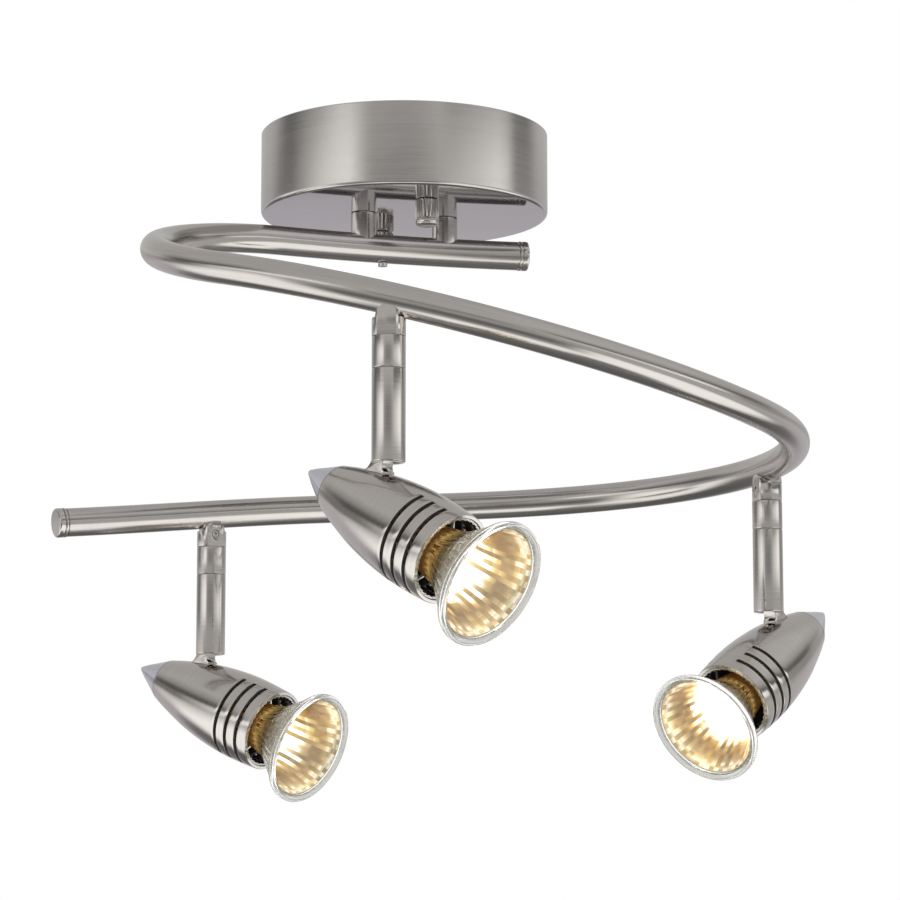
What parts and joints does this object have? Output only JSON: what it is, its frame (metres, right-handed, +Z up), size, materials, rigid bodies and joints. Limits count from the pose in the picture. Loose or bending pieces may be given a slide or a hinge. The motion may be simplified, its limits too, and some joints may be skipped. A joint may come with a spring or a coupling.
{
  "type": "ceiling spotlight",
  "caption": "Satin nickel ceiling light: round canopy, spiral tube and swivelling bullet-shaped spot heads with glass reflector lamps.",
  "frame": {"origin": "middle of the mounting bracket's top face, on the ceiling", "axes": "+Z up out of the ceiling face, +X along the tube's top bar towards its free end under the canopy"},
  "size_m": [0.3283, 0.3431, 0.2942],
  "materials": {
    "satin_nickel": "satin brushed nickel plate",
    "polished_nickel": "polished",
    "plated_steel": "zinc plated",
    "bright_steel": "bright",
    "brass": "plain",
    "terminal_plastic": "matt",
    "ceramic": "glazed white ceramic",
    "lamp_glass": "clear faceted glass with a thin mirror coating"
  },
  "bodies": {
    "fixture": {"mounting_bracket": "plated_steel", "earth_screw": "brass", "terminal_block": "terminal_plastic", "canopy": "satin_nickel", "front_stud": "bright_steel", "rear_stud": "bright_steel", "left_post": "satin_nickel", "left_post_nut": "plated_steel", "right_post": "satin_nickel", "right_post_nut": "plated_steel", "tube_screw": "bright_steel", "spiral_tube": "satin_nickel", "upper_end_cap": "satin_nickel", "lower_end_cap": "satin_nickel", "centre_neck": "satin_nickel", "centre_set_screw": "bright_steel", "centre_collar": "satin_nickel", "right_neck": "satin_nickel", "right_set_screw": "bright_steel", "right_collar": "satin_nickel", "left_neck": "satin_nickel", "left_set_screw": "bright_steel", "left_collar": "satin_nickel"},
    "front_nut": {"front_thumb_nut": "satin_nickel"},
    "rear_nut": {"rear_thumb_nut": "satin_nickel"},
    "centre_stem_body": {"centre_stem": "satin_nickel", "centre_tilt_pin": "bright_steel"},
    "centre_head": {"centre_tongue": "satin_nickel", "centre_tail_cone": "polished_nickel", "centre_housing": "satin_nickel", "centre_lampholder": "ceramic", "centre_retaining_ring": "plated_steel"},
    "centre_lamp": {"centre_lamp_base": "ceramic", "centre_lamp_reflector": "lamp_glass", "centre_lamp_lens": "lamp_glass", "centre_lamp_capsule": "lamp_glass"},
    "right_stem_body": {"right_stem": "satin_nickel", "right_tilt_pin": "bright_steel"},
    "right_head": {"right_tongue": "satin_nickel", "right_tail_cone": "polished_nickel", "right_housing": "satin_nickel", "right_lampholder": "ceramic", "right_retaining_ring": "plated_steel"},
    "right_lamp": {"right_lamp_base": "ceramic", "right_lamp_reflector": "lamp_glass", "right_lamp_lens": "lamp_glass", "right_lamp_capsule": "lamp_glass"},
    "left_stem_body": {"left_stem": "satin_nickel", "left_tilt_pin": "bright_steel"},
    "left_head": {"left_tongue": "satin_nickel", "left_tail_cone": "polished_nickel", "left_housing": "satin_nickel", "left_lampholder": "ceramic", "left_retaining_ring": "plated_steel"},
    "left_lamp": {"left_lamp_base": "ceramic", "left_lamp_reflector": "lamp_glass", "left_lamp_lens": "lamp_glass", "left_lamp_capsule": "lamp_glass"}
  },
  "joints": [
    {"name": "front_nut_turn", "type": "hinge", "parent": "fixture", "child": "front_nut", "pos_m": [0, -0.03493, -0.0425], "axis": [0, 0, 1], "continuous": true},
    {"name": "rear_nut_turn", "type": "hinge", "parent": "fixture", "child": "rear_nut", "pos_m": [0, 0.03493, -0.0425], "axis": [0, 0, 1], "continuous": true},
    {"name": "centre_swivel", "type": "hinge", "parent": "fixture", "child": "centre_stem_body", "pos_m": [-0.05865, -0.17782, -0.13803], "axis": [0, 0, 1], "range_deg": [-170, 170]},
    {"name": "centre_tilt", "type": "hinge", "parent": "centre_stem_body", "child": "centre_head", "pos_m": [-0.05865, -0.17782, -0.16823], "axis": [0.8396, 0.5432, 0], "range_deg": [-29, 61]},
    {"name": "centre_lamp_twist", "type": "hinge", "parent": "centre_head", "child": "centre_lamp", "pos_m": [-0.06515, -0.16777, -0.18983], "axis": [0.4751, -0.7343, -0.4848], "range_deg": [0, 20]},
    {"name": "right_swivel", "type": "hinge", "parent": "fixture", "child": "right_stem_body", "pos_m": [0.14994, -0.05173, -0.17705], "axis": [0, 0, 1], "range_deg": [-170, 170]},
    {"name": "right_tilt", "type": "hinge", "parent": "right_stem_body", "child": "right_head", "pos_m": [0.14994, -0.05173, -0.20725], "axis": [0.5135, -0.8581, 0], "range_deg": [-32, 58]},
    {"name": "right_lamp_twist", "type": "hinge", "parent": "right_head", "child": "right_lamp", "pos_m": [0.16117, -0.04501, -0.2282], "axis": [-0.7277, -0.4355, -0.5299], "range_deg": [0, 20]},
    {"name": "left_swivel", "type": "hinge", "parent": "fixture", "child": "left_stem_body", "pos_m": [-0.0686, 0.07449, -0.19064], "axis": [0, 0, 1], "range_deg": [-170, 170]},
    {"name": "left_tilt", "type": "hinge", "parent": "left_stem_body", "child": "left_head", "pos_m": [-0.0686, 0.07449, -0.22084], "axis": [0.7804, 0.6252, 0], "range_deg": [-22.5, 67.5]},
    {"name": "left_lamp_twist", "type": "hinge", "parent": "left_head", "child": "left_lamp", "pos_m": [-0.07451, 0.08186, -0.24366], "axis": [0.5776, -0.721, -0.3827], "range_deg": [0, 20]}
  ]
}
